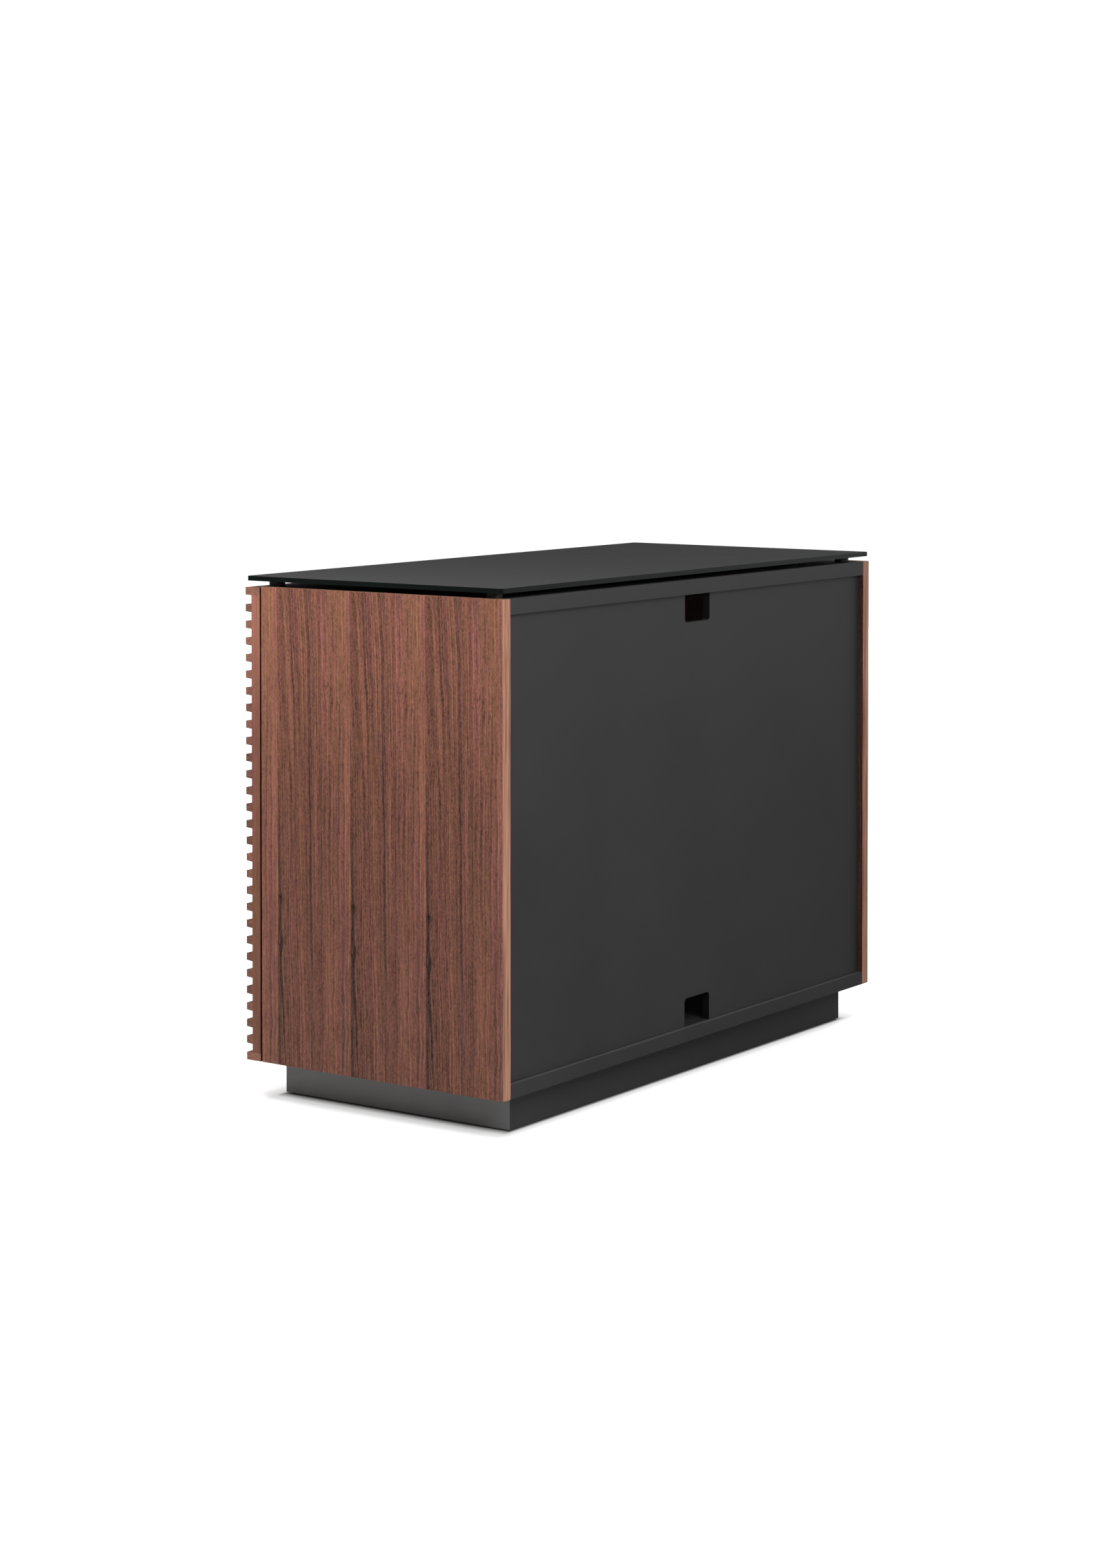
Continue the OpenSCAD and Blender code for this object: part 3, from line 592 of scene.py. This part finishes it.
def door_walnut():
    """Solid walnut: grain along each rail and slat, up each stile, and end grain where cut across; with
    painted light high on the stiles and painted shade on the door backs.
    """
    g = Material("walnut_door")
    x, y, z = g.separate(g.place())
    in_rail = g.either(g.below(z, rail_high.z), g.above(z, top_rail_z - rail_height / 2))
    lying = g.either(in_rail, g.below(y, slats_back + SLAT_MARGIN))
    row = g.math("FLOOR", g.total(g.over(g.minus(z, bottom_rail_z), slat_pitch), 0.5))
    piece = g.total((row, lying), (g.math("SIGN", x), DOOR_SEED))
    seed = g.times(g.random(piece), PIECE_SEED)
    tone = g.minus(g.random(g.total(piece, 0.5)), 0.5)

    along = g.choose(lying, z, x)
    across = g.choose(lying, x, z)
    wander = streaks(g, along, across, seed, DOOR_WANDER)
    v = g.total(across, (y, DOOR_SLANT), (wander, DOOR_WANDER_PUSH))
    grain = streak_set(g, v, along, seed, DOOR_STREAKS)
    # Painted light: the stiles go paler towards the top
    painted_top_light = g.times(g.range(z, *STILE_PAINTED_LIGHT, smooth=True), g.minus(1.0, lying))
    brightness = g.total(painted_top_light, *weighted(grain, DOOR_CONTRAST), (tone, PIECE_CONTRAST), 1.0)
    face = g.mix(g.range(grain["hue"], *DOOR_HUE), WALNUT_RED, WALNUT_TAN)
    face = g.shaded(g.mix(g.range(grain["medium"], *DOOR_GREY), face, WALNUT_GREY), brightness)
    open_pores = g.range(grain["pores"], *OPEN_PORES)
    face = g.mix(g.times(open_pores, DOOR_PORE_TINT), face, WALNUT_PORE)
    # Painted shade on the backs of the doors, darkest beside the side panels
    back = g.times(g.above(y, rail_high.y - DOOR_BACK_DEPTH), g.facing(1))
    painted_back_shade = g.choose(g.above(g.size(x), panel_low.x), DOOR_BACK_PAINTED_SHADE, DOOR_EDGE_PAINTED_SHADE)
    face = g.shaded(face, g.range(back, 0.0, 1.0, 1.0, painted_back_shade))

    cut_across = g.times(g.facing(0), lying)
    g.surface(
        Base_Color=g.mix(cut_across, face, end_grain(g, y, z, seed, tone)),
        Roughness=g.range(grain["thin"], *DOOR_ROUGHNESS),
        Specular_IOR_Level=WALNUT_SHINE,
    )
    g.bump(g.total((grain["thin"], THIN_RELIEF), (open_pores, PORE_RELIEF)), *DOOR_BUMP)
    return g.material


# ---------- other materials ----------

# In this section, a scale is features to a metre, a stretch multiplies it along X, Y and Z, and
# a drift is how far a value goes down and up from its middle.

# Lacquer: orange peel, the slow drift in tone and gloss, and dust
PEEL_SCALE = 420.0
PEEL_BUMP = (0.12, 0.00010)
CLOUD_SCALE = 5.0
CLOUD_SHADE = (0.92, 1.08)
LACQUER_DRIFT = (-0.03, 0.04)
DUST_SCALE = 1500.0
DUST_SPECKS = (0.72, 0.78, 0.0, 0.10)
DUST_TONE = 0.12
# Painted highlight: the paler tone of the chamfers, standing in for the light they catch, and how far
# the ledges behind the rear panel share it
PAINTED_HIGHLIGHT_TONE = 0.16
LEDGE_PAINTED_HIGHLIGHT = 0.5
LEDGE_MARGIN = 0.2 * MM
# painted_end_tone is painted light and shade: the tone of the faces that look along X, where it differs,
# paler on the plinth's sides and darker on the rear panel's ends
LACQUERS = {
    "black_lacquer": {"tone": 0.033, "roughness": 0.42, "shine": 0.25},
    "rear_panel_lacquer": {"tone": 0.032, "roughness": 0.44, "shine": 0.25, "painted_end_tone": 0.008},
    # Painted light and shade: the plinth's copy of the lacquer has its own tones
    "plinth_lacquer": {"tone": 0.029, "roughness": 0.42, "shine": 0.28, "painted_end_tone": 0.225},
    # Painted shade: the bottom board's copy of the lacquer is a little darker
    "base_lacquer": {"tone": 0.031, "roughness": 0.42, "shine": 0.30},
}

# Glass: its faces, its polished edges, the etching and the faint smears
GLASS_DARK = (0.034,) * 3
GLASS_PALE = (0.042,) * 3
GLASS_EDGE = (0.004, 0.0065, 0.0055)
GLASS_EDGE_ROUGHNESS = 0.16
GLASS_FACE_ROUGHNESS = (0.50, 0.56)
GLASS_SHINE = 0.12
ETCH_SCALE = 2600.0
ETCH_BUMP = (0.10, 0.00006)
SMEAR_STRETCH = (1.6, 4.0, 1.0)
SMEAR_SCALE = 2.2

# Moulded plastic: spark-eroded grain and slow wear
PLASTIC_GRAIN_SCALE = 1900.0
PLASTIC_BUMP = (0.22, 0.00010)
PLASTIC_WEAR_SCALE = 30.0
PLASTIC_DRIFT = (-0.05, 0.06)
# The darkest and palest tone, as shares of a plastic's own
PLASTIC_WEAR = (0.8, 1.25)
PLASTICS = {
    "black_plastic": {"tone": 0.016, "roughness": 0.5},
    "foot_plastic": {"tone": 0.028, "roughness": 0.45},
}

# Plated metal: hairlines and stains
HAIRLINE_STRETCH = (900.0, 60.0, 2600.0)
HAIRLINE_HEIGHT = 0.00005
METAL_DRIFT = (-0.06, 0.08)
STAIN_SCALE = 60.0
STAIN_REACH = (0.35, 0.7)
STAIN_SHADE = 0.78
STAIN_ROUGHNESS = 0.05
METALS = {
    "steel": {"colour": (0.60, 0.60, 0.62), "roughness": 0.30, "scratch": 0.10},
    "zinc": {"colour": (0.50, 0.51, 0.53), "roughness": 0.45, "scratch": 0.14},
    "nickel": {"colour": (0.66, 0.64, 0.60), "roughness": 0.24, "scratch": 0.08},
}

# Bare beech: slow changes of tone, and short flecks
BEECH_DARK = (0.42, 0.25, 0.14)
BEECH_PALE = (0.58, 0.38, 0.23)
BEECH_FLECK = (0.26, 0.13, 0.06)
BEECH_FLECK_STRETCH = (60.0, 900.0, 900.0)
BEECH_BROAD_STRETCH = (6.0, 80.0, 80.0)
BEECH_FLECKS = (0.6, 0.7, 0.0, 0.5)
BEECH_ROUGHNESS = (0.62, 0.78)
BEECH_BUMP = (0.25, 0.0001)

# Rubber and its bloom
RUBBER_DARK = (0.012,) * 3
RUBBER_BLOOM = (0.030,) * 3
RUBBER_BLOOM_SCALE = 240.0
RUBBER_ROUGHNESS = (0.6, 0.8)
RUBBER_BUMP = (0.15, 0.0001)


def black_lacquer(name, tone, roughness, shine, painted_end_tone=None):
    """Sprayed satin lacquer: a faint orange peel, a slow drift in gloss and a few dust specks, with
    painted highlights on the chamfers and ledges, and painted light and shade on the faces that look
    along X where a tone for them is given.
    """
    g = Material(name)
    place = g.place()
    cloud = g.noise(place, CLOUD_SCALE, 3.0, 0.6)
    dust = g.range(g.noise(place, DUST_SCALE, 1.0), *DUST_SPECKS)
    # Painted light and shade: faces that look along X take their own tone
    base = (tone,) * 3 if painted_end_tone is None else g.mix(g.facing(0), (tone,) * 3, (painted_end_tone,) * 3)
    ledge = g.times(g.above(g.separate(place)[1], rear_panel_back + LEDGE_MARGIN), LEDGE_PAINTED_HIGHLIGHT)
    # Painted highlight: the chamfers and ledges are paler, as if catching the light
    painted_highlight = g.times(g.facing(2), g.either(g.facing(1), ledge))
    colour = g.shaded(g.mix(painted_highlight, base, (PAINTED_HIGHLIGHT_TONE,) * 3), g.spread(cloud, *CLOUD_SHADE))
    g.surface(
        Base_Color=g.mix(dust, colour, (DUST_TONE,) * 3),
        Roughness=g.drift(cloud, roughness, LACQUER_DRIFT),
        Specular_IOR_Level=shine,
    )
    g.bump(g.noise(place, PEEL_SCALE, 3.0, 0.55), *PEEL_BUMP)
    return g.material


def etched_glass():
    """Black glass: fine etched top and underside, polished edges with a deep green cast."""
    g = Material("etched_glass")
    place = g.place()
    flat = g.facing(2)
    edge = g.minus(1.0, flat)
    smear = g.noise(g.vector("MULTIPLY", place, SMEAR_STRETCH), SMEAR_SCALE, 3.0, 0.6)
    g.surface(
        Base_Color=g.mix(edge, g.mix(smear, GLASS_DARK, GLASS_PALE), GLASS_EDGE),
        Roughness=g.choose(edge, g.spread(smear, *GLASS_FACE_ROUGHNESS), GLASS_EDGE_ROUGHNESS),
        Specular_IOR_Level=GLASS_SHINE,
    )
    g.bump(g.times(g.noise(place, ETCH_SCALE, 2.0, 0.6), flat), *ETCH_BUMP)
    return g.material


def moulded_plastic(name, tone, roughness):
    """Spark-eroded black plastic with a fine grain."""
    g = Material(name)
    place = g.place()
    wear = g.noise(place, PLASTIC_WEAR_SCALE, 3.0, 0.6)
    dark, pale = ((tone * share,) * 3 for share in PLASTIC_WEAR)
    g.surface(
        Base_Color=g.mix(wear, dark, pale),
        Roughness=g.drift(wear, roughness, PLASTIC_DRIFT),
    )
    g.bump(g.noise(place, PLASTIC_GRAIN_SCALE, 3.0, 0.6), *PLASTIC_BUMP)
    return g.material


def plated_metal(name, colour, roughness, scratch):
    """Plated metal with rolled-in hairlines and small stains."""
    g = Material(name)
    place = g.place()
    lines = g.noise(g.vector("MULTIPLY", place, HAIRLINE_STRETCH), 1.0, 2.0, 0.6)
    stain = g.noise(place, STAIN_SCALE, 3.0, 0.6)
    stained = tuple(part * STAIN_SHADE for part in colour)
    g.surface(
        Base_Color=g.mix(g.range(stain, *STAIN_REACH), colour, stained),
        Metallic=1.0,
        Roughness=g.total(g.drift(lines, roughness, METAL_DRIFT), (stain, STAIN_ROUGHNESS)),
    )
    g.bump(lines, scratch, HAIRLINE_HEIGHT)
    return g.material


def bare_beech():
    """Unfinished beech: pale, with short dark flecks along the grain."""
    g = Material("bare_beech")
    place = g.place()
    fleck = g.noise(g.vector("MULTIPLY", place, BEECH_FLECK_STRETCH), 1.0, 2.0, 0.6)
    broad = g.noise(g.vector("MULTIPLY", place, BEECH_BROAD_STRETCH), 1.0, 2.0, 0.6)
    colour = g.ramp(broad, list(zip(NOISE_SPAN, (BEECH_DARK, BEECH_PALE))))
    g.surface(
        Base_Color=g.mix(g.range(fleck, *BEECH_FLECKS), colour, BEECH_FLECK),
        Roughness=g.spread(fleck, *BEECH_ROUGHNESS),
    )
    g.bump(fleck, *BEECH_BUMP)
    return g.material


def soft_rubber():
    """Black bumper rubber, dull, with a slight bloom."""
    g = Material("rubber_pad")
    bloom = g.noise(g.place(), RUBBER_BLOOM_SCALE, 3.0, 0.6)
    g.surface(
        Base_Color=g.mix(bloom, RUBBER_DARK, RUBBER_BLOOM),
        Roughness=g.spread(bloom, *RUBBER_ROUGHNESS),
    )
    g.bump(bloom, *RUBBER_BUMP)
    return g.material


def make_materials():
    """The materials by slot, and two more lacquers: copies of the black lacquer with painted light and
    shade, for the bottom board and the plinth.
    """
    materials = {
        "walnut_panel": panel_walnut(),
        "walnut_door": door_walnut(),
        "etched_glass": etched_glass(),
        "bare_beech": bare_beech(),
        "rubber_pad": soft_rubber(),
    }
    for make, table in ((black_lacquer, LACQUERS), (plated_metal, METALS), (moulded_plastic, PLASTICS)):
        for name, settings in table.items():
            materials[name] = make(name, **settings)
    return materials


# Boards whose lacquer is not their slot's: copies of the black lacquer with painted light and shade
OWN_LACQUER = {
    "bottom_board": "base_lacquer",
    "plinth_front": "plinth_lacquer",
    "plinth_rear": "plinth_lacquer",
    "plinth_right": "plinth_lacquer",
    "plinth_left": "plinth_lacquer",
}


def dress_cad_nodes(materials):
    """Gives every CAD node its slot's material, or its own."""
    for part in frame["record"]["subparts"]:
        mesh = nodes[part["node"]].data
        mesh.materials.clear()
        mesh.materials.append(materials[OWN_LACQUER.get(part["node"], part["material_slot"])])


# ---------- eased edges ----------

# Radius of the eased edges by slot, and the flat chamfer of two boards
EDGE_RADIUS = {
    "walnut_panel": 0.8 * MM,
    "walnut_door": 0.7 * MM,
    "black_lacquer": 0.8 * MM,
    "rear_panel_lacquer": 0.6 * MM,
    "etched_glass": 0.7 * MM,
}
CHAMFERED_BOARDS = ("top_board", "bottom_board")
CHAMFER = 1.2 * MM
ROUND_SEGMENTS = 3
# Edges that turn by less than this stay as they are
EDGE_ANGLE = math.radians(40)


def ease_edges():
    """Rounds or chamfers the sharp edges, as sanding and polishing leave them."""
    for part in frame["record"]["subparts"]:
        radius = EDGE_RADIUS.get(part["material_slot"])
        if radius is None:
            continue
        bevel = nodes[part["node"]].modifiers.new("eased_edges", "BEVEL")
        chamfered = part["node"] in CHAMFERED_BOARDS
        bevel.width = CHAMFER if chamfered else radius
        bevel.segments = 1 if chamfered else ROUND_SEGMENTS
        bevel.limit_method = "ANGLE"
        bevel.angle_limit = EDGE_ANGLE
        bevel.use_clamp_overlap = True


# ---------- studio ----------

FLOOR_HALF = 7.0
# The floor's glow as the camera sees it: near, far, and the glow at each
FLOOR_GLOW = (0.75, 1.5, 0.54, 1.10)
# The plinth's painted shadow on that floor: reach of the dark part, then where the pale part under the
# side panels' overhang starts and ends, and the floor's tone at each
PAINTED_CONTACT_SHADOW_REACH = 0.022
OVERHANG_PAINTED_SHADOW = (0.03, 0.08, 0.4, 0.9)
# How much faster the painted shadow ends in front of and behind the plinth than beside it
PAINTED_SHADOW_SQUEEZE = 4.0
# The floor as it lights the cabinet, with painted light: it gets paler this way, off the front right
# corner
BOUNCE_TOWARDS = (0.8, -0.6)
FLOOR_PAINTED_BOUNCE = (-0.3, 0.7, 0.22, 0.85)
FLOOR_ROUGHNESS = 0.9

# The studio's light: an even part, and glows (direction, cosine where each starts, strength)
STUDIO_BASE = 0.21
STUDIO_GLOWS = [
    ((-0.75, 0.65, 0.1), 0.2, 0.68),
    ((0.0, 0.2, 1.0), 0.7, 0.35),
]
# The studio's white where the camera sees it
STUDIO_WHITE = 1.05

# Lamps: name, place, target, width, height and power. Those named _fill leave no reflections.
LAMPS = [
    ("side_key", (0.95, -0.15, 1.35), (0.5, 0.0, 0.4), 0.6, 0.6, 8.5),
    ("rear_key", (0.8, 1.5, 1.35), (0.3, 0.2, 0.45), 0.9, 0.9, 16),
    ("front_fill", (-1.0, -2.2, 0.75), (0.0, -0.2, 0.4), 1.2, 0.8, 26),
    ("left_fill", (-1.9, -0.3, 0.75), (-0.5, 0.0, 0.4), 0.9, 0.9, 16),
    ("plinth_fill", (0.4, 1.1, 0.10), (0.3, 0.2, 0.03), 1.4, 0.15, 0.7),
]


def distance_from_plinth(g, x, y):
    """How far a point of the floor is outside the plinth's outline, with steps along Y enlarged, for the
    painted shadow.
    """
    middle = (plinth_front + plinth_back) / 2
    half = (plinth_back - plinth_front) / 2
    beside = g.either(g.minus(g.size(x), plinth_side), 0.0)
    beyond = g.either(g.minus(g.size(g.minus(y, middle)), half), 0.0)
    return g.length(beside, g.times(beyond, PAINTED_SHADOW_SQUEEZE))


def make_floor():
    """A white floor, blown out where it is seen, with a painted shadow round the plinth; dimmer where it
    lights the cabinet, with painted light off its front right corner.
    """
    low, high = -FLOOR_HALF, FLOOR_HALF
    corners = [(low, low, 0), (high, low, 0), (high, high, 0), (low, high, 0)]
    mesh = bpy.data.meshes.new("floor")
    mesh.from_pydata(corners, [], [(0, 1, 2, 3)])
    floor = bpy.data.objects.new("floor", mesh)
    bpy.context.scene.collection.objects.link(floor)
    g = Material("floor")
    seen = g.seen()
    place = g.separate(g.place())
    x, y = place[0], place[1]
    outside = distance_from_plinth(g, x, y)
    # Painted light: the floor that lights the cabinet is paler off its front right corner
    painted_bounce_light = g.range(g.total((x, BOUNCE_TOWARDS[0]), (y, BOUNCE_TOWARDS[1])), *FLOOR_PAINTED_BOUNCE, smooth=True)
    glow = g.range(g.length(x, y), *FLOOR_GLOW, smooth=True)
    g.surface(
        # Painted shadow: the floor as seen is darker under the side panels' overhang
        Base_Color=g.mix(seen, g.grey(painted_bounce_light), g.grey(g.range(outside, *OVERHANG_PAINTED_SHADOW))),
        Roughness=FLOOR_ROUGHNESS,
        Specular_IOR_Level=0.0,
        Emission_Color=(1.0, 1.0, 1.0),
        # Painted shadow: the glow fades out where the plinth meets the floor
        Emission_Strength=g.times(seen, glow, g.range(outside, 0.0, PAINTED_CONTACT_SHADOW_REACH)),
    )
    mesh.materials.append(g.material)


def make_world():
    """A white studio: pure white where it is seen, and a soft uneven glow where it lights."""
    world = bpy.data.worlds.new("studio")
    bpy.context.scene.world = world
    world.use_nodes = True
    background = world.node_tree.nodes["Background"]
    background.inputs["Color"].default_value = (1.0, 1.0, 1.0, 1.0)
    g = Nodes(world.node_tree)
    toward = g.add("ShaderNodeTexCoord").outputs["Generated"]
    glows = []
    for direction, start, strength in STUDIO_GLOWS:
        facing = g.vector("DOT_PRODUCT", toward, tuple(Vector(direction).normalized()))
        glows.append(g.range(facing, start, 1.0, 0.0, strength, smooth=True))
    lighting = g.total(STUDIO_BASE, *glows)
    g.put(background.inputs["Strength"], g.choose(g.seen(), lighting, STUDIO_WHITE))


def make_lamp(name, place, target, width, height, power):
    """A rectangular lamp turned to its target. It is never seen itself."""
    data = bpy.data.lights.new(name, "AREA")
    data.shape = "RECTANGLE"
    data.size = width
    data.size_y = height
    data.energy = power
    lamp = bpy.data.objects.new(name, data)
    lamp.location = place
    lamp.visible_camera = False
    lamp.visible_glossy = not name.endswith("_fill")
    lamp.rotation_mode = "QUATERNION"
    lamp.rotation_quaternion = (Vector(target) - Vector(place)).to_track_quat("-Z", "Y")
    bpy.context.scene.collection.objects.link(lamp)


# ---------- build ----------

make_camera()
make_world()
make_floor()
for lamp in LAMPS:
    make_lamp(*lamp)
dress_cad_nodes(make_materials())
ease_edges()
bpy.context.scene.view_settings.view_transform = "Standard"
